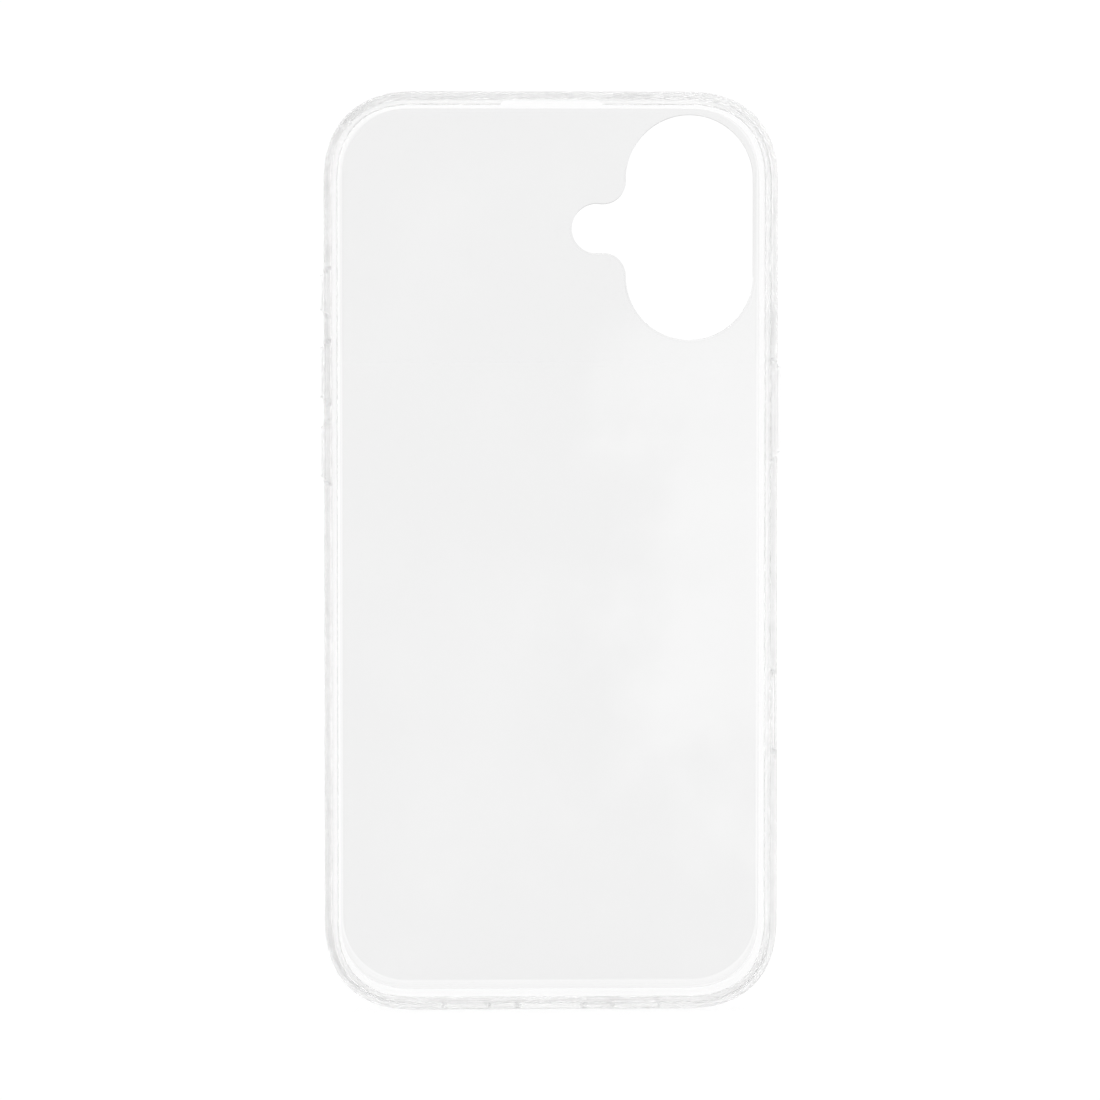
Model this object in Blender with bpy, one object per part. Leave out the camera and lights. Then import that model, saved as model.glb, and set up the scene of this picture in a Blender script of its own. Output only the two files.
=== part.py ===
"""Clear protective case for a 6.1-inch phone: hard back plate, flexible frame and four button caps.

The case stands upright with its open side towards -Y, as a phone would be held to read it.
X runs across the case, Z runs up it and Y runs through it. The origin is the centre of the
face that the back of the phone lies on.
"""
import math

import bmesh
import bpy
from mathutils import Matrix, Vector

MM = 0.001

# The phone that the case is made for, and the room it gets at the sides.
PHONE_WIDTH = 71.6 * MM
PHONE_HEIGHT = 147.6 * MM
FIT_GAP = 0.1 * MM

# Outline of the case, seen from the front. Each corner is a quarter of a superellipse.
WALL = 1.2 * MM
HALF_WIDTH = PHONE_WIDTH / 2 + FIT_GAP + WALL
HALF_HEIGHT = PHONE_HEIGHT / 2 + FIT_GAP + WALL
CORNER_REACH = 15.1 * MM
CORNER_POWER = 2.37
CORNER_STEPS = 10

# Section of the frame. Heights are counted towards the front from the face the phone lies on,
# and insets are counted inwards from the widest outline.
LIP_UNDERSIDE = 7.95 * MM
LIP_TOP = 8.9 * MM
LIP_REACH = 2.3 * MM
LIP_EDGE = 0.25 * MM
FRONT_ROUNDING = 1.1 * MM
BACK_THICKNESS = 1.4 * MM
BACK_ROUNDING_WIDTH = 3.7 * MM
BACK_ROUNDING_DEPTH = 3.2 * MM
INNER_FILLET = 1.2 * MM
SEAM_INSET = 2.6 * MM
SEAM_GAP = 0.1 * MM
SECTION_STEPS = 4

# Camera opening in the back plate: an upright slot with a round lobe for the flash beside it.
CAMERA_X = 23.0 * MM
CAMERA_Z = 52.95 * MM
CAMERA_RADIUS = 10.45 * MM
CAMERA_HALF_HEIGHT = 18.45 * MM
LOBE_X = 7.7 * MM
LOBE_Z = 52.8 * MM
LOBE_RADIUS = 4.05 * MM
LOBE_FILLET = 3.8 * MM
CAMERA_STEPS = 14

# Buttons: the cap stands proud of the wall, and a thin flange behind it lies in a pocket.
BUTTON_HEIGHT = 3.95 * MM
BUTTON_WIDTH = 3.4 * MM
BUTTON_PROUD = 0.62 * MM
BUTTON_EDGE = 0.3 * MM
BUTTON_ROUND = 1.1 * MM
BUTTON_CLEARANCE = 0.15 * MM
FLANGE_MARGIN = 0.5 * MM
FLANGE_FRONT = 0.74 * MM
FLANGE_BACK = 1.0 * MM
POCKET_FLOOR = 0.66 * MM
BUTTONS = (
    ("action_button", "left", 42.3 * MM, 7.5 * MM),
    ("volume_up_button", "left", 29.3 * MM, 10.0 * MM),
    ("volume_down_button", "left", 16.3 * MM, 9.9 * MM),
    ("power_button", "right", 23.2 * MM, 15.9 * MM),
)

# Openings in the walls.
PORT_LENGTH = 11.8 * MM
PORT_WIDTH = 5.6 * MM
PORT_ROUND = 2.2 * MM
SPEAKER_OFFSET = 13.9 * MM
SPEAKER_LENGTH = 8.2 * MM
SPEAKER_WIDTH = 3.2 * MM
SPEAKER_ROUND = 1.5 * MM
CONTROL_Z = -26.2 * MM
CONTROL_LENGTH = 13.8 * MM
CONTROL_WIDTH = 4.9 * MM
CONTROL_ROUND = 1.4 * MM
CONTROL_FLARE = 1.35 * MM
CONTROL_FLARE_DEPTH = 0.6 * MM
EARPIECE_LENGTH = 15.0 * MM
EARPIECE_SLANT = 1.0 * MM
EARPIECE_ROOT = 1.35 * MM
EARPIECE_BOTTOM = 7.6 * MM
EARPIECE_TOP = 9.6 * MM

# How far a cutter runs past the material on each side, and the roundness of small corners.
OVERSHOOT = 1.0 * MM
CUTTER_ROUND = 0.1 * MM
ROUND_STEPS = 4
SMOOTH_ANGLE = math.radians(35)

# The clear plastics: name, colour and roughness.
PLATE_PLASTIC = ("clear_polycarbonate", (0.93, 0.94, 0.95), 0.05)
FRAME_PLASTIC = ("clear_tpu", (0.96, 0.97, 0.97), 0.12)
BUTTON_PLASTIC = ("clear_button_plastic", (0.96, 0.97, 0.97), 0.1)
PLASTIC_IOR = 1.5


def arc(centre_x, centre_y, radius, start, end, steps):
    """Points on an arc, from the start angle to the end angle in degrees, both ends included."""
    points = []
    for step in range(steps + 1):
        angle = math.radians(start + (end - start) * step / steps)
        points.append((centre_x + radius * math.cos(angle), centre_y + radius * math.sin(angle)))
    return points


def case_outline(inset):
    """One walk round the case in the XZ plane, at a distance inside its widest outline."""
    points = []
    for right, up in ((1, 1), (-1, 1), (-1, -1), (1, -1)):
        corner = []
        for step in range(CORNER_STEPS + 1):
            turn = math.pi / 2 * step / CORNER_STEPS
            across = math.cos(turn) ** (2 / CORNER_POWER)
            along = math.sin(turn) ** (2 / CORNER_POWER)
            normal = Vector((across ** (CORNER_POWER - 1), along ** (CORNER_POWER - 1)))
            normal.normalize()
            x = HALF_WIDTH - CORNER_REACH * (1 - across) - inset * normal.x
            z = HALF_HEIGHT - CORNER_REACH * (1 - along) - inset * normal.y
            corner.append((right * x, up * z))
        if right != up:
            corner.reverse()
        points += corner
    return points


def back_rounding(first_inset, last_inset):
    """Points (inset, height) on the rounded back edge between two insets."""
    points = []
    for step in range(SECTION_STEPS + 1):
        inset = first_inset + (last_inset - first_inset) * (step / SECTION_STEPS) ** 2
        reach = 1 - inset / BACK_ROUNDING_WIDTH
        depth = BACK_ROUNDING_DEPTH * math.sqrt(1 - reach * reach)
        points.append((inset, BACK_ROUNDING_DEPTH - BACK_THICKNESS - depth))
    return points


def frame_section():
    """Closed section of the frame as (inset, height) points, from the front lip round the back."""
    lip_edge = [(LIP_REACH, LIP_TOP - LIP_EDGE), (LIP_REACH - LIP_EDGE, LIP_TOP)]
    front = arc(FRONT_ROUNDING, LIP_TOP - FRONT_ROUNDING, FRONT_ROUNDING, 90, 180, SECTION_STEPS)
    back = back_rounding(0.0, SEAM_INSET)
    fillet_centre = WALL + INNER_FILLET
    fillet = arc(fillet_centre, INNER_FILLET, INNER_FILLET, 270, 180, SECTION_STEPS)
    lip_underside = [(WALL, LIP_UNDERSIDE), (LIP_REACH, LIP_UNDERSIDE)]
    return lip_edge + front + back + [(SEAM_INSET, 0.0)] + fillet + lip_underside


def plate_section():
    """Edge of the back plate as (inset, height) points, from its inner face to its outer face."""
    edge = SEAM_INSET + SEAM_GAP
    return [(edge, 0.0)] + back_rounding(edge, BACK_ROUNDING_WIDTH)


def camera_outline():
    """Outline of the camera opening in the XZ plane: the slot, the lobe and the fillets between."""
    straight = CAMERA_HALF_HEIGHT - CAMERA_RADIUS
    fillet_x = CAMERA_X - CAMERA_RADIUS - LOBE_FILLET
    reach = LOBE_RADIUS + LOBE_FILLET
    fillet_rise = math.sqrt(reach ** 2 - (fillet_x - LOBE_X) ** 2)
    meeting = math.degrees(math.atan2(fillet_rise, fillet_x - LOBE_X))
    points = arc(CAMERA_X, CAMERA_Z + straight, CAMERA_RADIUS, 0, 180, CAMERA_STEPS)
    upper = arc(fillet_x, LOBE_Z + fillet_rise, LOBE_FILLET, 0, meeting - 180, CAMERA_STEPS // 2)
    lobe = arc(LOBE_X, LOBE_Z, LOBE_RADIUS, meeting, 360 - meeting, CAMERA_STEPS)
    lower = arc(fillet_x, LOBE_Z - fillet_rise, LOBE_FILLET, 180 - meeting, 0, CAMERA_STEPS // 2)
    points += upper + lobe[1:-1] + lower
    points += arc(CAMERA_X, CAMERA_Z - straight, CAMERA_RADIUS, 180, 360, CAMERA_STEPS)
    return points


def rounded_rectangle(length, width, radius):
    """Outline of a rounded rectangle about the origin, its length along the first axis."""
    along = length / 2 - radius
    across = width / 2 - radius
    points = arc(along, across, radius, 0, 90, ROUND_STEPS)
    points += arc(-along, across, radius, 90, 180, ROUND_STEPS)
    points += arc(-along, -across, radius, 180, 270, ROUND_STEPS)
    points += arc(along, -across, radius, 270, 360, ROUND_STEPS)
    return points


def mesh_from_rings(name, rings, closed):
    """A mesh through rings of points: joined end to end where closed, else capped at both ends."""
    shape = bmesh.new()
    loops = [[shape.verts.new(point) for point in ring] for ring in rings]
    pairs = list(zip(loops, loops[1:]))
    if closed:
        pairs.append((loops[-1], loops[0]))
    else:
        shape.faces.new(loops[0])
        shape.faces.new(loops[-1])
    for first, second in pairs:
        for here in range(len(first)):
            there = (here + 1) % len(first)
            shape.faces.new((first[here], first[there], second[there], second[here]))
    bmesh.ops.recalc_face_normals(shape, faces=shape.faces)
    mesh = bpy.data.meshes.new(name)
    shape.to_mesh(mesh)
    shape.free()
    mesh.shade_smooth()
    mesh.set_sharp_from_angle(angle=SMOOTH_ANGLE)
    return mesh


def case_rings(section):
    """Rings round the case, one for each (inset, height) point of a section."""
    return [[(x, -height, z) for x, z in case_outline(inset)] for inset, height in section]


def stacked_rings(sections):
    """Rings of rounded rectangles (depth, length, width, radius), stacked along local Z."""
    rings = []
    for depth, length, width, radius in sections:
        rings.append([(x, y, depth) for x, y in rounded_rectangle(length, width, radius)])
    return rings


def on_wall(wall, along, height):
    """Placement on a wall's widest line: local Z points into the case and local Y to the front."""
    inward = {
        "left": Vector((1, 0, 0)),
        "right": Vector((-1, 0, 0)),
        "bottom": Vector((0, 0, 1)),
        "top": Vector((0, 0, -1)),
    }[wall]
    front = Vector((0, -1, 0))
    if wall in ("left", "right"):
        place = Vector((-inward.x * HALF_WIDTH, -height, along))
    else:
        place = Vector((along, -height, -inward.z * HALF_HEIGHT))
    turn = Matrix((front.cross(inward), front, inward)).transposed()
    return Matrix.Translation(place) @ turn.to_4x4()


def add_object(name, mesh, placement=None):
    """Link a mesh to the scene as an object, placed by its location and rotation."""
    item = bpy.data.objects.new(name, mesh)
    bpy.context.scene.collection.objects.link(item)
    if placement is not None:
        item.location = placement.to_translation()
        item.rotation_euler = placement.to_euler()
    return item


def cut(target, name, rings, placement=None):
    """Cut a closed shape out of an object."""
    cutter = add_object(name, mesh_from_rings(name, rings, closed=False), placement)
    cutter.hide_render = True
    cutter.display_type = "WIRE"
    boolean = target.modifiers.new(name, "BOOLEAN")
    boolean.operation = "DIFFERENCE"
    boolean.solver = "EXACT"
    boolean.object = cutter


def clear_plastic(name, colour, roughness):
    """A clear moulded plastic."""
    material = bpy.data.materials.new(name)
    material.use_nodes = True
    shader = material.node_tree.nodes["Principled BSDF"]
    shader.inputs["Base Color"].default_value = (*colour, 1.0)
    shader.inputs["Roughness"].default_value = roughness
    shader.inputs["Metallic"].default_value = 0.0
    shader.inputs["Transmission Weight"].default_value = 1.0
    shader.inputs["IOR"].default_value = PLASTIC_IOR
    return material


def add_back_plate(material):
    """The hard panel behind the phone, with the camera opening."""
    rings = case_rings(plate_section())
    plate = add_object("back_plate", mesh_from_rings("back_plate", rings, closed=False))
    plate.data.materials.append(material)
    depths = (-OVERSHOOT, BACK_THICKNESS + OVERSHOOT)
    cut(plate, "camera_cutter", [[(x, y, z) for x, z in camera_outline()] for y in depths])


def straight_opening(length, width, radius):
    """Sections of a cutter that goes straight through a wall."""
    depths = (-OVERSHOOT, WALL + OVERSHOOT)
    return [(depth, length, width, radius) for depth in depths]


def control_opening():
    """Sections of the flared opening over the phone's touch control."""
    flared_length = CONTROL_LENGTH + 2 * CONTROL_FLARE
    flared_width = CONTROL_WIDTH + 2 * CONTROL_FLARE
    return [
        (-OVERSHOOT, flared_length, flared_width, CONTROL_ROUND + CONTROL_FLARE),
        (0.0, flared_length, flared_width, CONTROL_ROUND + CONTROL_FLARE),
        (CONTROL_FLARE_DEPTH, CONTROL_LENGTH, CONTROL_WIDTH, CONTROL_ROUND),
        (WALL + OVERSHOOT, CONTROL_LENGTH, CONTROL_WIDTH, CONTROL_ROUND),
    ]


def earpiece_notch():
    """Sections of the notch in the front lip, wider towards the lip's free edge."""
    width = EARPIECE_TOP - EARPIECE_BOTTOM
    wide = EARPIECE_LENGTH + 2 * EARPIECE_SLANT
    return [
        (EARPIECE_ROOT, EARPIECE_LENGTH, width, CUTTER_ROUND),
        (LIP_REACH + CUTTER_ROUND, wide, width, CUTTER_ROUND),
    ]


def button_window(length):
    """Sections of a stepped window: an opening for the cap and a pocket for its flange."""
    gap = 2 * BUTTON_CLEARANCE
    opening = (length + gap, BUTTON_WIDTH + gap, BUTTON_ROUND + BUTTON_CLEARANCE)
    margin = gap + 2 * FLANGE_MARGIN
    pocket_round = BUTTON_ROUND + BUTTON_CLEARANCE + FLANGE_MARGIN
    pocket = (length + margin, BUTTON_WIDTH + margin, pocket_round)
    return [
        (-OVERSHOOT, *opening),
        (POCKET_FLOOR, *opening),
        (POCKET_FLOOR, *pocket),
        (WALL + OVERSHOOT, *pocket),
    ]


def button_cap(length):
    """Sections of a button cap, from its outer face to the back of its flange."""
    edge = 2 * BUTTON_EDGE
    margin = 2 * FLANGE_MARGIN
    cap = (length, BUTTON_WIDTH, BUTTON_ROUND)
    flange = (length + margin, BUTTON_WIDTH + margin, BUTTON_ROUND + FLANGE_MARGIN)
    return [
        (-BUTTON_PROUD, length - edge, BUTTON_WIDTH - edge, BUTTON_ROUND - BUTTON_EDGE),
        (BUTTON_EDGE - BUTTON_PROUD, *cap),
        (FLANGE_FRONT, *cap),
        (FLANGE_FRONT, *flange),
        (FLANGE_BACK, *flange),
    ]


def add_bumper_frame(material):
    """The flexible frame: walls, front lip and rounded back edge, with all its openings."""
    rings = case_rings(frame_section())
    frame = add_object("bumper_frame", mesh_from_rings("bumper_frame", rings, closed=True))
    frame.data.materials.append(material)
    port = straight_opening(PORT_LENGTH, PORT_WIDTH, PORT_ROUND)
    speaker = straight_opening(SPEAKER_LENGTH, SPEAKER_WIDTH, SPEAKER_ROUND)
    notch_height = (EARPIECE_BOTTOM + EARPIECE_TOP) / 2
    openings = [
        ("port_cutter", "bottom", 0.0, BUTTON_HEIGHT, port),
        ("left_speaker_cutter", "bottom", -SPEAKER_OFFSET, BUTTON_HEIGHT, speaker),
        ("right_speaker_cutter", "bottom", SPEAKER_OFFSET, BUTTON_HEIGHT, speaker),
        ("control_cutter", "right", CONTROL_Z, BUTTON_HEIGHT, control_opening()),
        ("earpiece_cutter", "top", 0.0, notch_height, earpiece_notch()),
    ]
    for name, wall, along, length in BUTTONS:
        window = button_window(length)
        openings.append((name + "_cutter", wall, along, BUTTON_HEIGHT, window))
    for name, wall, along, height, sections in openings:
        cut(frame, name, stacked_rings(sections), on_wall(wall, along, height))


def add_buttons(material):
    """The four caps, each with its origin on the line that it is pressed along."""
    for name, wall, along, length in BUTTONS:
        mesh = mesh_from_rings(name, stacked_rings(button_cap(length)), closed=False)
        cap = add_object(name, mesh, on_wall(wall, along, BUTTON_HEIGHT))
        cap.data.materials.append(material)


def main():
    """Clear the scene and build the case."""
    for item in list(bpy.data.objects):
        bpy.data.objects.remove(item, do_unlink=True)
    add_back_plate(clear_plastic(*PLATE_PLASTIC))
    add_bumper_frame(clear_plastic(*FRAME_PLASTIC))
    add_buttons(clear_plastic(*BUTTON_PLASTIC))


main()
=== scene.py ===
"""Looks of the clear phone case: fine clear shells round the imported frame, light and camera."""

import math

import bmesh
import bpy
from mathutils import Matrix, Vector


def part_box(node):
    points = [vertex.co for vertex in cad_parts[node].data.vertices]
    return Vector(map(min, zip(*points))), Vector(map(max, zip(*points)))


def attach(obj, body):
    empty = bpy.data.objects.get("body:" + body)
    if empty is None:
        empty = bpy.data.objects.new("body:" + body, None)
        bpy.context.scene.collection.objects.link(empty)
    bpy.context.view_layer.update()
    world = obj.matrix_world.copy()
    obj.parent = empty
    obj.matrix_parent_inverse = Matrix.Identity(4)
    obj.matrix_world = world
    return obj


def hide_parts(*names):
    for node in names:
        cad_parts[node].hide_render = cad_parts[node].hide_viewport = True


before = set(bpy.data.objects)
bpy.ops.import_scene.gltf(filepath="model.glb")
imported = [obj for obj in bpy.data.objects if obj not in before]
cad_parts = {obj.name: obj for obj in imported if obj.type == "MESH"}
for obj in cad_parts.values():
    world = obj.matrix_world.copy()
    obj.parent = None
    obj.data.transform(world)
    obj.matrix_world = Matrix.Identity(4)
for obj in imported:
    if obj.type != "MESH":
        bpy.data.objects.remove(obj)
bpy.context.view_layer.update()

MM = 0.001

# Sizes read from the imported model. Heights count towards the front from the phone's seat (y = 0).
FRAME_LOW, FRAME_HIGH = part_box("bumper_frame")
HALF_WIDTH = FRAME_HIGH.x
HALF_HEIGHT = FRAME_HIGH.z
LIP_TOP = -FRAME_LOW.y
BACK_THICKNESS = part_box("back_plate")[1].y

# Outline: quarters of a superellipse at the corners.
CORNER_REACH = 15.1 * MM
CORNER_POWER = 2.37
CORNER_STEPS = 36

# Section of the frame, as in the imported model, with the small roundings that it leaves out.
WALL = 1.2 * MM
LIP_UNDERSIDE = 7.95 * MM
LIP_REACH = 2.3 * MM
LIP_ROUND = 0.3 * MM
FRONT_ROUNDING = 1.1 * MM
BACK_ROUNDING_WIDTH = 3.7 * MM
BACK_ROUNDING_DEPTH = 3.2 * MM
INNER_FILLET = 1.2 * MM
SEAM_INSET = 2.6 * MM
SEAM_GAP = 0.03 * MM
WALL_LEAN = 0.22 * MM
WALL_LEAN_START = 4.6 * MM
SECTION_STEPS = 12
WALL_STEPS = 8

# Camera opening: an upright slot with a lobe for the flash.
CAMERA_X = 23.0 * MM
CAMERA_Z = 52.95 * MM
CAMERA_RADIUS = 10.45 * MM
CAMERA_HALF_HEIGHT = 18.45 * MM
LOBE_X = 7.7 * MM
LOBE_Z = 52.8 * MM
LOBE_RADIUS = 4.05 * MM
LOBE_FILLET = 3.8 * MM
CAMERA_EDGE = 0.4 * MM
CAMERA_STEPS = 40

# Buttons and openings in the walls.
MIDDLE = 3.95 * MM
BUTTON_WIDTH = 3.4 * MM
BUTTON_PROUD = 0.62 * MM
BUTTON_EDGE = 0.6 * MM
BUTTON_END = 0.9 * MM
BUTTON_ROUND = 1.1 * MM
BUTTON_CLEARANCE = 0.06 * MM
FLANGE_MARGIN = 0.5 * MM
FLANGE_FRONT = 0.74 * MM
FLANGE_BACK = 1.0 * MM
POCKET_FLOOR = 0.68 * MM
PORT = (11.8 * MM, 5.6 * MM, 2.2 * MM)
SPEAKER = (8.2 * MM, 3.2 * MM, 1.5 * MM)
SPEAKER_OFFSET = 13.9 * MM
CONTROL = (13.8 * MM, 4.9 * MM, 1.4 * MM)
CONTROL_Z = -26.2 * MM
CONTROL_FLARE = 1.35 * MM
CONTROL_FLARE_DEPTH = 0.6 * MM
EARPIECE_LENGTH = 15.0 * MM
EARPIECE_SLANT = 1.0 * MM
EARPIECE_ROOT = 1.35 * MM
EARPIECE_BOTTOM = 7.6 * MM
EARPIECE_TOP = 9.6 * MM
EARPIECE_CORNER = 0.1 * MM
OPENING_EDGE = 0.3 * MM

# How far a cutter runs past the material, and the step that keeps its sections apart.
OVERSHOOT = 1.0 * MM
SLIVER = 0.005 * MM
EDGE_STEPS = 5
ROUND_STEPS = 9

# Smooth shading: faces that meet at more than this angle in degrees have a sharp edge.
SHARP_ANGLE = 40
LARGE_FACE_WEIGHT = 60


def arc(centre_x, centre_y, radius_x, radius_y, start, end, steps):
    """Points on an elliptic arc, from the start angle to the end angle in degrees."""
    points = []
    for step in range(steps + 1):
        angle = math.radians(start + (end - start) * step / steps)
        x = centre_x + radius_x * math.cos(angle)
        points.append((x, centre_y + radius_y * math.sin(angle)))
    return points


def case_outline(inset):
    """One walk round the case in the XZ plane, at a distance inside its widest outline."""
    points = []
    for right, up in ((1, 1), (-1, 1), (-1, -1), (1, -1)):
        corner = []
        for step in range(CORNER_STEPS + 1):
            turn = math.pi / 2 * step / CORNER_STEPS
            across = math.cos(turn) ** (2 / CORNER_POWER)
            along = math.sin(turn) ** (2 / CORNER_POWER)
            normal = Vector((across ** (CORNER_POWER - 1), along ** (CORNER_POWER - 1)))
            normal.normalize()
            x = HALF_WIDTH - CORNER_REACH * (1 - across) - inset * normal.x
            z = HALF_HEIGHT - CORNER_REACH * (1 - along) - inset * normal.y
            corner.append((right * x, up * z))
        if right != up:
            corner.reverse()
        points += corner
    return points


def back_rounding(first_inset, last_inset):
    """Points (inset, height) on the rounded back edge, evenly spaced in angle."""
    def angle_at(inset):
        return math.degrees(math.acos(1 - inset / BACK_ROUNDING_WIDTH))

    centre_height = BACK_ROUNDING_DEPTH - BACK_THICKNESS
    start = 180 + angle_at(first_inset)
    end = 180 + angle_at(last_inset)
    return arc(
        BACK_ROUNDING_WIDTH, centre_height, BACK_ROUNDING_WIDTH, BACK_ROUNDING_DEPTH,
        start, end, SECTION_STEPS,
    )


def lean(inset, height):
    """The wall leans in a little towards its front edge."""
    rise = max(0.0, height - WALL_LEAN_START) / (LIP_TOP - WALL_LEAN_START)
    return inset + WALL_LEAN * rise * rise, height


def frame_section():
    """Closed section of the frame as (inset, height) points, from the front lip round the back."""
    radius = LIP_ROUND
    centre = LIP_REACH - radius
    lip = arc(centre, LIP_UNDERSIDE + radius, radius, radius, -90, 0, EDGE_STEPS)
    lip += arc(centre, LIP_TOP - radius, radius, radius, 0, 90, EDGE_STEPS)
    middle = LIP_TOP - FRONT_ROUNDING
    outer = arc(FRONT_ROUNDING, middle, FRONT_ROUNDING, FRONT_ROUNDING, 90, 180, SECTION_STEPS)
    drop = middle - WALL_LEAN_START
    outer += [(0.0, middle - drop * step / WALL_STEPS) for step in range(1, WALL_STEPS + 1)]
    outer = [lean(*point) for point in outer]
    back = back_rounding(0.0, SEAM_INSET)
    fillet_centre = WALL + INNER_FILLET
    fillet = arc(
        fillet_centre, INNER_FILLET, INNER_FILLET, INNER_FILLET, 270, 180, SECTION_STEPS
    )
    root = arc(WALL + radius, LIP_UNDERSIDE - radius, radius, radius, 180, 90, EDGE_STEPS)
    return lip + outer + back + [(SEAM_INSET, 0.0)] + fillet + root


def plate_section():
    """Edge of the back plate as (inset, height) points, from its inner face to its outer face."""
    edge = SEAM_INSET + SEAM_GAP
    return [(edge, 0.0)] + back_rounding(edge, BACK_ROUNDING_WIDTH)


def camera_outline(grow):
    """Camera opening in the XZ plane, grown outwards: slot, lobe and the fillets between them."""
    slot, lobe, fillet = CAMERA_RADIUS + grow, LOBE_RADIUS + grow, LOBE_FILLET - grow
    straight = CAMERA_HALF_HEIGHT - CAMERA_RADIUS
    fillet_x = CAMERA_X - CAMERA_RADIUS - LOBE_FILLET
    reach = LOBE_RADIUS + LOBE_FILLET
    rise = math.sqrt(reach ** 2 - (fillet_x - LOBE_X) ** 2)
    meeting = math.degrees(math.atan2(rise, fillet_x - LOBE_X))
    half_steps = CAMERA_STEPS // 2
    points = arc(CAMERA_X, CAMERA_Z + straight, slot, slot, 0, 180, CAMERA_STEPS)
    points += arc(fillet_x, LOBE_Z + rise, fillet, fillet, 0, meeting - 180, half_steps)
    points += arc(LOBE_X, LOBE_Z, lobe, lobe, meeting, 360 - meeting, CAMERA_STEPS)[1:-1]
    points += arc(fillet_x, LOBE_Z - rise, fillet, fillet, 180 - meeting, 0, half_steps)
    points += arc(CAMERA_X, CAMERA_Z - straight, slot, slot, 180, 360, CAMERA_STEPS)
    return points


def rounded_rectangle(length, width, radius):
    """Outline of a rounded rectangle about the origin, its length along the first axis."""
    along = length / 2 - radius
    across = width / 2 - radius
    points = arc(along, across, radius, radius, 0, 90, ROUND_STEPS)
    points += arc(-along, across, radius, radius, 90, 180, ROUND_STEPS)
    points += arc(-along, -across, radius, radius, 180, 270, ROUND_STEPS)
    points += arc(along, -across, radius, radius, 270, 360, ROUND_STEPS)
    return points


def mesh_from_rings(name, rings, closed):
    """A mesh through rings of points: joined end to end where closed, else capped at both ends."""
    shape = bmesh.new()
    loops = [[shape.verts.new(point) for point in ring] for ring in rings]
    pairs = list(zip(loops, loops[1:]))
    if closed:
        pairs.append((loops[-1], loops[0]))
    else:
        shape.faces.new(loops[0])
        shape.faces.new(loops[-1])
    for first, second in pairs:
        for here in range(len(first)):
            there = (here + 1) % len(first)
            shape.faces.new((first[here], first[there], second[there], second[here]))
    bmesh.ops.recalc_face_normals(shape, faces=shape.faces)
    mesh = bpy.data.meshes.new(name)
    shape.to_mesh(mesh)
    shape.free()
    return mesh


def case_rings(section):
    """Rings round the case, one for each (inset, height) point of a section."""
    return [[(x, -height, z) for x, z in case_outline(inset)] for inset, height in section]


def stacked_rings(sections):
    """Rings of rounded rectangles (depth, length, width, radius), stacked along local Z."""
    rings = []
    for depth, length, width, radius in sections:
        rings.append([(x, y, depth) for x, y in rounded_rectangle(length, width, radius)])
    return rings


def on_wall(wall, along, height):
    """Placement on a wall's widest line: local Z points into the case and local Y to the front."""
    inward = {
        "left": Vector((1, 0, 0)),
        "right": Vector((-1, 0, 0)),
        "bottom": Vector((0, 0, 1)),
        "top": Vector((0, 0, -1)),
    }[wall]
    front = Vector((0, -1, 0))
    if wall in ("left", "right"):
        place = Vector((-inward.x * HALF_WIDTH, -height, along))
    else:
        place = Vector((along, -height, -inward.z * HALF_HEIGHT))
    turn = Matrix((front.cross(inward), front, inward)).transposed()
    return Matrix.Translation(place) @ turn.to_4x4()


def add_object(name, mesh):
    """Link a mesh to the scene as an object."""
    item = bpy.data.objects.new(name, mesh)
    bpy.context.scene.collection.objects.link(item)
    return item


def cut_openings(target, cutters):
    """Cut closed meshes out of an object, apply the cuts and remove the cutters."""
    tools = []
    for mesh in cutters:
        tool = add_object("cutter", mesh)
        tools.append(tool)
        boolean = target.modifiers.new("cut", "BOOLEAN")
        boolean.operation = "DIFFERENCE"
        boolean.solver = "EXACT"
        boolean.object = tool
    bpy.context.view_layer.update()
    graph = bpy.context.evaluated_depsgraph_get()
    cut_mesh = bpy.data.meshes.new_from_object(target.evaluated_get(graph))
    target.modifiers.clear()
    plain = target.data
    target.data = cut_mesh
    bpy.data.meshes.remove(plain)
    for tool in tools:
        mesh = tool.data
        bpy.data.objects.remove(tool)
        bpy.data.meshes.remove(mesh)


def smooth_like_a_moulding(item):
    """Smooth shading whose normals follow the large faces, so that flat faces look flat."""
    item.data.shade_smooth()
    item.data.set_sharp_from_angle(angle=math.radians(SHARP_ANGLE))
    weighted = item.modifiers.new("even_normals", "WEIGHTED_NORMAL")
    weighted.mode = "FACE_AREA"
    weighted.weight = LARGE_FACE_WEIGHT
    weighted.keep_sharp = True


def rounded_flare(edge, steps):
    """(depth, growth) pairs of a rounded edge: fully grown at depth 0, none at depth edge."""
    pairs = []
    for step in range(steps + 1):
        angle = math.pi / 2 * step / steps
        pairs.append((edge * (1 - math.cos(angle)), edge * (1 - math.sin(angle))))
    return pairs


def wall_opening(length, width, radius):
    """Sections of a cutter through a wall that leaves both of its edges rounded."""
    sections = [(-OVERSHOOT, OPENING_EDGE)]
    flare = [(depth + SLIVER, grow) for depth, grow in rounded_flare(OPENING_EDGE, EDGE_STEPS)]
    sections += flare
    sections += [(WALL - depth, grow) for depth, grow in reversed(flare)]
    sections += [(WALL + OVERSHOOT, OPENING_EDGE)]
    return [(d, length + 2 * g, width + 2 * g, radius + g) for d, g in sections]


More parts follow.
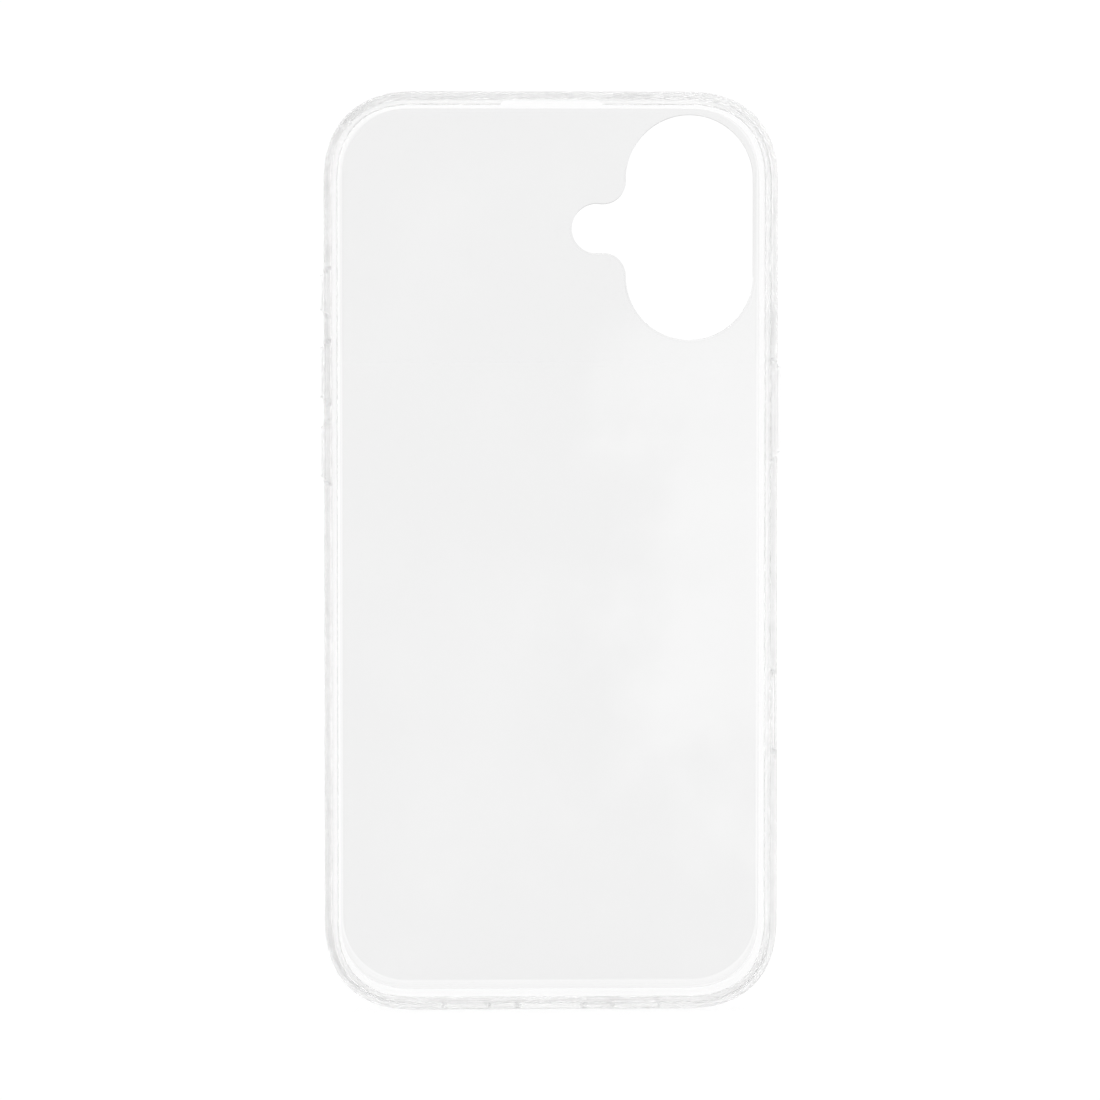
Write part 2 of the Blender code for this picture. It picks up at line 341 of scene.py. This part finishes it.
def control_opening(length, width, radius):
    """Sections of a cutter for the dished opening over the phone's touch control."""
    sections = [(-OVERSHOOT, CONTROL_FLARE), (0.0, CONTROL_FLARE)]
    steps = 2 * EDGE_STEPS
    for step in range(1, steps + 1):
        share = step / steps
        slope = (1 + math.cos(math.pi * share)) / 2
        sections.append((CONTROL_FLARE_DEPTH * share, CONTROL_FLARE * slope))
    flare = [(depth + SLIVER, grow) for depth, grow in rounded_flare(OPENING_EDGE, EDGE_STEPS)]
    sections += [(WALL - depth, grow) for depth, grow in reversed(flare)]
    sections += [(WALL + OVERSHOOT, OPENING_EDGE)]
    return [(d, length + 2 * g, width + 2 * g, radius + g) for d, g in sections]


def earpiece_notch():
    """Sections of the notch in the front lip, wider towards the lip's free edge."""
    width = EARPIECE_TOP - EARPIECE_BOTTOM
    wide = EARPIECE_LENGTH + 2 * EARPIECE_SLANT
    return [
        (EARPIECE_ROOT, EARPIECE_LENGTH, width, EARPIECE_CORNER),
        (LIP_REACH + EARPIECE_CORNER, wide, width, EARPIECE_CORNER),
    ]


def button_window(length):
    """Sections of a stepped window: an opening for the cap and a pocket for its flange."""
    gap = 2 * BUTTON_CLEARANCE
    opening = (length + gap, BUTTON_WIDTH + gap, BUTTON_ROUND + BUTTON_CLEARANCE)
    margin = gap + 2 * FLANGE_MARGIN
    pocket_round = BUTTON_ROUND + BUTTON_CLEARANCE + FLANGE_MARGIN
    pocket = (length + margin, BUTTON_WIDTH + margin, pocket_round)
    return [
        (-OVERSHOOT, *opening),
        (POCKET_FLOOR, *opening),
        (POCKET_FLOOR, *pocket),
        (WALL + OVERSHOOT, *pocket),
    ]


def button_cap(length):
    """Sections of a button cap with a soft outer edge, from its outer face to its flange."""
    sections = []
    steps = 2 * EDGE_STEPS
    for step in range(steps + 1):
        angle = math.pi / 2 * step / steps
        rise = BUTTON_EDGE * (1 - math.sin(angle))
        shrink = math.cos(angle)
        across = BUTTON_EDGE * shrink
        size = (length - 2 * BUTTON_END * shrink, BUTTON_WIDTH - 2 * across)
        sections.append((BUTTON_EDGE - rise - BUTTON_PROUD, *size, BUTTON_ROUND - across))
    margin = 2 * FLANGE_MARGIN
    flange = (length + margin, BUTTON_WIDTH + margin, BUTTON_ROUND + FLANGE_MARGIN)
    sections.append((FLANGE_FRONT, length, BUTTON_WIDTH, BUTTON_ROUND))
    sections.append((FLANGE_FRONT, *flange))
    sections.append((FLANGE_BACK, *flange))
    return sections


def button_facts(name):
    """The wall a button is in, how far up it and how long the cap is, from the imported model."""
    low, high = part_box(name)
    wall = "left" if high.x < 0 else "right"
    return wall, (low.z + high.z) / 2, high.z - low.z - 2 * FLANGE_MARGIN


BUTTONS = ("action_button", "volume_up_button", "volume_down_button", "power_button")


# Materials

# The grey middle of the back plate, and the clearer area that its right side has.
PANEL_HALF_WIDTH = HALF_WIDTH - 3.1 * MM
PANEL_HALF_HEIGHT = HALF_HEIGHT - 3.4 * MM
PANEL_RISE = 0.7 * MM
PANEL_CORNER = 10.5 * MM
PANEL_GREY = (0.845, 0.86)
# Painted highlight at the plate's edge: where it runs, how light its band is and how light its line
# is.
RIM_HIGHLIGHT_SPAN = (-0.4 * MM, 0.8 * MM)
RIM_HIGHLIGHT_SHARE = 0.35
RIM_HIGHLIGHT_LINE = 0.5
CLEARER_X = (2.0 * MM, 28.0 * MM)
CLEARER_Z = (28.0 * MM, 60.0 * MM)
CLEARER_RAGGEDNESS = 60.0 * MM
CLEARER_GAIN = 0.042

# Painted highlight at the plate's edge: how much lighter the plate gets across its span, as (place,
# share) pairs: a bright line, then less.
RIM_HIGHLIGHT_RAMP = ((0.25, 0.0), (0.5, RIM_HIGHLIGHT_LINE), (0.8, RIM_HIGHLIGHT_SHARE))

# Noise: scale per metre and detail. Steps: the noise values where each starts and is full.
POLISH_NOISE = (90.0, 4.0)
POLISH_STEP = (0.3, 0.7)
WAVE_NOISE = (55.0, 2.0)
TINT_NOISE = (32.0, 3.0)
TINT_STEP = (0.4, 0.7)
PANEL_NOISE = (38.0, 4.0)
PANEL_STEP = (0.4, 0.75)
DOTS_PER_METRE = 2000.0
DOT_SCATTER = 0.15

# The clear plastics: name, refractive index, body, roughness from and to, and the depths in
# metres of the flow waves and of the fine texture.
PANEL_PLASTIC = ("clear_polycarbonate", 1.58, 1.0, (0.0, 0.03), 2e-6, 0.0)
FRAME_PLASTIC = ("clear_tpu", 1.5, 0.5, (0.1, 0.18), 3e-8, 3e-8)
BUTTON_PLASTIC = ("clear_button_plastic", 1.5, 0.25, (0.1, 0.2), 3e-8, 0.0)
FRAME_TINT = (0.935, 0.95)
BUTTON_TINT = (0.94, 0.96)


def calculate(nodes, links, operation, first, second=None):
    """The result of a calculation with one or two values, each a socket or a number."""
    node = nodes.new("ShaderNodeMath")
    node.operation = operation
    for place, source in enumerate((first, second)):
        if isinstance(source, bpy.types.NodeSocket):
            links.new(source, node.inputs[place])
        elif source is not None:
            node.inputs[place].default_value = source
    return node.outputs["Value"]


def smooth_step(nodes, links, value, start, full, low=0.0, high=1.0):
    """A value's smooth step from low at the start to high where it is full."""
    step = nodes.new("ShaderNodeMapRange")
    step.interpolation_type = "SMOOTHSTEP"
    step.inputs["From Min"].default_value = start
    step.inputs["From Max"].default_value = full
    step.inputs["To Min"].default_value = low
    step.inputs["To Max"].default_value = high
    links.new(value, step.inputs["Value"])
    return step.outputs["Result"]


def noise(nodes, links, place, scale, detail):
    """Smooth noise over an object, in features about one part in scale of a metre wide."""
    texture = nodes.new("ShaderNodeTexNoise")
    texture.inputs["Scale"].default_value = scale
    texture.inputs["Detail"].default_value = detail
    links.new(place, texture.inputs["Vector"])
    return texture.outputs["Fac"]


def bump(nodes, links, height, depth, normal=None):
    """A bump of a depth in metres, on top of another bump where one is given."""
    node = nodes.new("ShaderNodeBump")
    node.inputs["Strength"].default_value = 1.0
    node.inputs["Distance"].default_value = depth
    links.new(height, node.inputs["Height"])
    if normal:
        links.new(normal, node.inputs["Normal"])
    return node.outputs["Normal"]


def clear_plastic(name, ior, body, rough, waviness, texture_depth):
    """Clear moulded plastic: faint flow waves, fine surface texture and uneven polish.

    The body is how much of the light a surface bends; the rest goes straight through.
    """
    material = bpy.data.materials.new(name)
    material.use_nodes = True
    nodes, links = material.node_tree.nodes, material.node_tree.links
    shader = nodes["Principled BSDF"]
    shader.inputs["Transmission Weight"].default_value = 1.0
    shader.inputs["IOR"].default_value = ior
    shader.inputs["Alpha"].default_value = body
    place = nodes.new("ShaderNodeTexCoord").outputs["Object"]
    polish = noise(nodes, links, place, *POLISH_NOISE)
    roughness = smooth_step(nodes, links, polish, *POLISH_STEP, *rough)
    links.new(roughness, shader.inputs["Roughness"])
    dots = nodes.new("ShaderNodeTexVoronoi")
    dots.inputs["Scale"].default_value = DOTS_PER_METRE
    dots.inputs["Randomness"].default_value = DOT_SCATTER
    links.new(place, dots.inputs["Vector"])
    waves = bump(nodes, links, noise(nodes, links, place, *WAVE_NOISE), waviness)
    texture = bump(nodes, links, dots.outputs["Distance"], texture_depth, waves)
    links.new(texture, shader.inputs["Normal"])
    return material


def uneven_tint(material, deep, light):
    """Cloudy tint of a plastic, between two greys."""
    nodes, links = material.node_tree.nodes, material.node_tree.links
    place = nodes.new("ShaderNodeTexCoord").outputs["Object"]
    clouds = noise(nodes, links, place, *TINT_NOISE)
    tint = smooth_step(nodes, links, clouds, *TINT_STEP, deep, light)
    links.new(tint, nodes["Principled BSDF"].inputs["Base Color"])


def panel_tint(material):
    """Tint of the back plate: grey in the middle and clearer over its right side, with a painted
    highlight at its edge: a bright line, then a lighter band.
    """
    nodes, links = material.node_tree.nodes, material.node_tree.links
    place = nodes.new("ShaderNodeTexCoord").outputs["Object"]
    clouds = noise(nodes, links, place, *PANEL_NOISE)
    split = nodes.new("ShaderNodeSeparateXYZ")
    links.new(place, split.inputs[0])

    def calc(operation, first, second=None):
        return calculate(nodes, links, operation, first, second)

    def beyond(axis, middle, half):
        size = calc("ABSOLUTE", calc("SUBTRACT", split.outputs[axis], middle))
        return calc("MAXIMUM", calc("SUBTRACT", size, half - PANEL_CORNER), 0.0)

    across = beyond("X", 0.0, PANEL_HALF_WIDTH)
    along = beyond("Z", PANEL_RISE, PANEL_HALF_HEIGHT)
    square = calc("ADD", calc("POWER", across, 2.0), calc("POWER", along, 2.0))
    outside = calc("SUBTRACT", calc("SQRT", square), PANEL_CORNER)

    drift = calc("MULTIPLY", calc("SUBTRACT", clouds, 0.5), CLEARER_RAGGEDNESS)
    right = smooth_step(nodes, links, calc("ADD", split.outputs["X"], drift), *CLEARER_X)
    height = calc("ABSOLUTE", calc("ADD", split.outputs["Z"], drift))
    clearer = calc("MULTIPLY", right, smooth_step(nodes, links, height, *CLEARER_Z, 1.0, 0.0))
    middle = smooth_step(nodes, links, clouds, *PANEL_STEP, *PANEL_GREY)
    middle = calc("ADD", middle, calc("MULTIPLY", clearer, CLEARER_GAIN))

    # Painted highlight along the plate's edge: a bright line, then a lighter band towards the frame.
    rim_highlight = nodes.new("ShaderNodeValToRGB")
    scaled = smooth_step(nodes, links, outside, *RIM_HIGHLIGHT_SPAN)
    links.new(scaled, rim_highlight.inputs["Fac"])
    stops = rim_highlight.color_ramp.elements
    stops.new(RIM_HIGHLIGHT_RAMP[1][0])
    for stop, (position, share) in zip(stops, RIM_HIGHLIGHT_RAMP):
        stop.position = position
        stop.color = (share, share, share, 1.0)
    blend = nodes.new("ShaderNodeMix")
    links.new(rim_highlight.outputs["Color"], blend.inputs["Factor"])
    links.new(middle, blend.inputs["A"])
    blend.inputs["B"].default_value = 1.0
    links.new(blend.outputs["Result"], nodes["Principled BSDF"].inputs["Base Color"])


# Pieces

def add_back_plate(material):
    """The hard panel, with a rounded edge round the camera opening."""
    rings = case_rings(plate_section())
    plate = add_object("back_plate_shell", mesh_from_rings("back_plate_shell", rings, False))
    flare = [(depth + SLIVER, grow) for depth, grow in rounded_flare(CAMERA_EDGE, EDGE_STEPS)]
    stations = [(-OVERSHOOT, CAMERA_EDGE)] + flare
    stations += [(BACK_THICKNESS - depth, grow) for depth, grow in reversed(flare)]
    stations += [(BACK_THICKNESS + OVERSHOOT, CAMERA_EDGE)]
    opening = [[(x, y, z) for x, z in camera_outline(grow)] for y, grow in stations]
    cut_openings(plate, [mesh_from_rings("camera_cutter", opening, False)])
    smooth_like_a_moulding(plate)
    plate.data.materials.clear()
    plate.data.materials.append(material)
    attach(plate, "case_shell")
    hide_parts("back_plate")


def add_bumper_frame(material):
    """The flexible frame with its windows and openings."""
    rings = case_rings(frame_section())
    shell = add_object("bumper_frame_shell", mesh_from_rings("bumper_frame_shell", rings, True))
    notch_height = (EARPIECE_BOTTOM + EARPIECE_TOP) / 2
    openings = [
        ("bottom", 0.0, MIDDLE, wall_opening(*PORT)),
        ("bottom", -SPEAKER_OFFSET, MIDDLE, wall_opening(*SPEAKER)),
        ("bottom", SPEAKER_OFFSET, MIDDLE, wall_opening(*SPEAKER)),
        ("right", CONTROL_Z, MIDDLE, control_opening(*CONTROL)),
        ("top", 0.0, notch_height, earpiece_notch()),
    ]
    for name in BUTTONS:
        wall, along, length = button_facts(name)
        openings.append((wall, along, MIDDLE, button_window(length)))
    cutters = []
    for wall, along, height, sections in openings:
        mesh = mesh_from_rings("wall_cutter", stacked_rings(sections), False)
        mesh.transform(on_wall(wall, along, height))
        cutters.append(mesh)
    cut_openings(shell, cutters)
    smooth_like_a_moulding(shell)
    shell.data.materials.clear()
    shell.data.materials.append(material)
    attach(shell, "case_shell")
    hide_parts("bumper_frame")


def add_buttons(material):
    """The four caps, each on its own body."""
    for name in BUTTONS:
        wall, along, length = button_facts(name)
        mesh = mesh_from_rings(name + "_cap", stacked_rings(button_cap(length)), False)
        mesh.transform(on_wall(wall, along, MIDDLE))
        cap = add_object(name + "_cap", mesh)
        smooth_like_a_moulding(cap)
        mesh.materials.append(material)
        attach(cap, name)
        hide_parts(name)


# Studio

FLOOR_SIZE = 16.0
FLOOR_DROP = 0.2 * MM
FLOOR_WHITE = (0.95, 0.95, 0.95, 1.0)
FLOOR_GLOW = 1.06
FLOOR_GLOW_SHARE = 0.85


def floor_material():
    """A pale studio floor, bright enough to run into the white backdrop."""
    material = bpy.data.materials.new("pale_floor")
    material.use_nodes = True
    nodes, links = material.node_tree.nodes, material.node_tree.links
    out = nodes["Material Output"]
    nodes.remove(nodes["Principled BSDF"])
    matt = nodes.new("ShaderNodeBsdfDiffuse")
    matt.inputs["Color"].default_value = FLOOR_WHITE
    glow = nodes.new("ShaderNodeEmission")
    glow.inputs["Strength"].default_value = FLOOR_GLOW
    mix = nodes.new("ShaderNodeMixShader")
    mix.inputs["Fac"].default_value = FLOOR_GLOW_SHARE
    links.new(matt.outputs["BSDF"], mix.inputs[1])
    links.new(glow.outputs["Emission"], mix.inputs[2])
    links.new(mix.outputs["Shader"], out.inputs["Surface"])
    return material


def add_floor():
    """A wide floor just under the case."""
    half = FLOOR_SIZE / 2
    level = FRAME_LOW.z - FLOOR_DROP
    corners = [(-half, -half, level), (half, -half, level), (half, half, level), (-half, half, level)]
    mesh = bpy.data.meshes.new("studio_floor")
    mesh.from_pydata(corners, [], [(0, 1, 2, 3)])
    floor = add_object("studio_floor", mesh)
    mesh.materials.append(floor_material())


# The room is white all round. Cards in it give clear edges their darker and brighter lines.
# Each card: direction, cosine where its edge starts, cosine where it is full, brightness.
ROOM_WHITE = 1.03
CARDS = (
    ((0.6, -0.8, 0.0), -0.35, 0.35, 0.55),
    ((0.0, -1.0, 0.0), 0.93, 0.97, ROOM_WHITE),
    ((0.0, 0.0, 1.0), 0.4, 0.6, 0.7),
    ((0.0, 0.0, 1.0), 0.85, 0.92, 1.6),
)


def add_world():
    """A white room, grey to the right and in front, with a board, a ceiling and a softbox.

    Seen directly, the room is a plain white backdrop; its cards only light the case.
    """
    world = bpy.data.worlds.new("studio")
    bpy.context.scene.world = world
    world.use_nodes = True
    nodes, links = world.node_tree.nodes, world.node_tree.links
    direction = nodes.new("ShaderNodeTexCoord").outputs["Generated"]
    light = None
    for towards, start, full, brightness in CARDS:
        facing = nodes.new("ShaderNodeVectorMath")
        facing.operation = "DOT_PRODUCT"
        links.new(direction, facing.inputs[0])
        facing.inputs[1].default_value = towards
        card = nodes.new("ShaderNodeMapRange")
        card.interpolation_type = "SMOOTHSTEP"
        card.inputs["From Min"].default_value = start
        card.inputs["From Max"].default_value = full
        card.inputs["To Min"].default_value = ROOM_WHITE
        card.inputs["To Max"].default_value = brightness
        links.new(facing.outputs["Value"], card.inputs["Value"])
        if light:
            links.new(light, card.inputs["To Min"])
        light = card.outputs["Result"]
    backdrop = nodes.new("ShaderNodeMix")
    links.new(nodes.new("ShaderNodeLightPath").outputs["Is Camera Ray"], backdrop.inputs["Factor"])
    links.new(light, backdrop.inputs["A"])
    backdrop.inputs["B"].default_value = ROOM_WHITE
    links.new(backdrop.outputs["Result"], nodes["Background"].inputs["Color"])


# Camera: its sensor in millimetres, and the distances that it sees between in metres.
SENSOR_WIDTH = 36.0
CLIP_RANGE = (0.01, 50.0)
CAMERA_DISTANCE = 950.0 * MM
VIEW_WIDTH = 179.4 * MM
VIEW_TARGET_X = -0.25 * MM
VIEW_TARGET_Z = 0.38 * MM
VIEW_LEFT = math.radians(2.0)
VIEW_UP = math.radians(2.6)


def add_camera():
    """A long lens in front of the case, a little to its left and above it."""
    data = bpy.data.cameras.new("studio_camera")
    data.sensor_width = SENSOR_WIDTH
    data.lens = SENSOR_WIDTH * CAMERA_DISTANCE / VIEW_WIDTH
    data.clip_start, data.clip_end = CLIP_RANGE
    camera = bpy.data.objects.new("studio_camera", data)
    bpy.context.scene.collection.objects.link(camera)
    target = Vector((VIEW_TARGET_X, -LIP_TOP, VIEW_TARGET_Z))
    away = Vector((
        -math.sin(VIEW_LEFT) * math.cos(VIEW_UP),
        -math.cos(VIEW_LEFT) * math.cos(VIEW_UP),
        math.sin(VIEW_UP),
    ))
    camera.location = target + away * CAMERA_DISTANCE
    camera.rotation_mode = "QUATERNION"
    camera.rotation_quaternion = (-away).to_track_quat("-Z", "Y")
    bpy.context.scene.camera = camera


# Light reflects many times inside a clear wall before it leaves.
INNER_BOUNCES = 64
STRAIGHT_PASSES = 32

scene = bpy.context.scene
scene.view_settings.view_transform = "Standard"
scene.cycles.max_bounces = INNER_BOUNCES
scene.cycles.transmission_bounces = INNER_BOUNCES
scene.cycles.glossy_bounces = INNER_BOUNCES
scene.cycles.transparent_max_bounces = STRAIGHT_PASSES
add_camera()
panel_plastic = clear_plastic(*PANEL_PLASTIC)
panel_tint(panel_plastic)
add_back_plate(panel_plastic)
frame_plastic = clear_plastic(*FRAME_PLASTIC)
uneven_tint(frame_plastic, *FRAME_TINT)
add_bumper_frame(frame_plastic)
button_plastic = clear_plastic(*BUTTON_PLASTIC)
uneven_tint(button_plastic, *BUTTON_TINT)
add_buttons(button_plastic)
add_floor()
add_world()

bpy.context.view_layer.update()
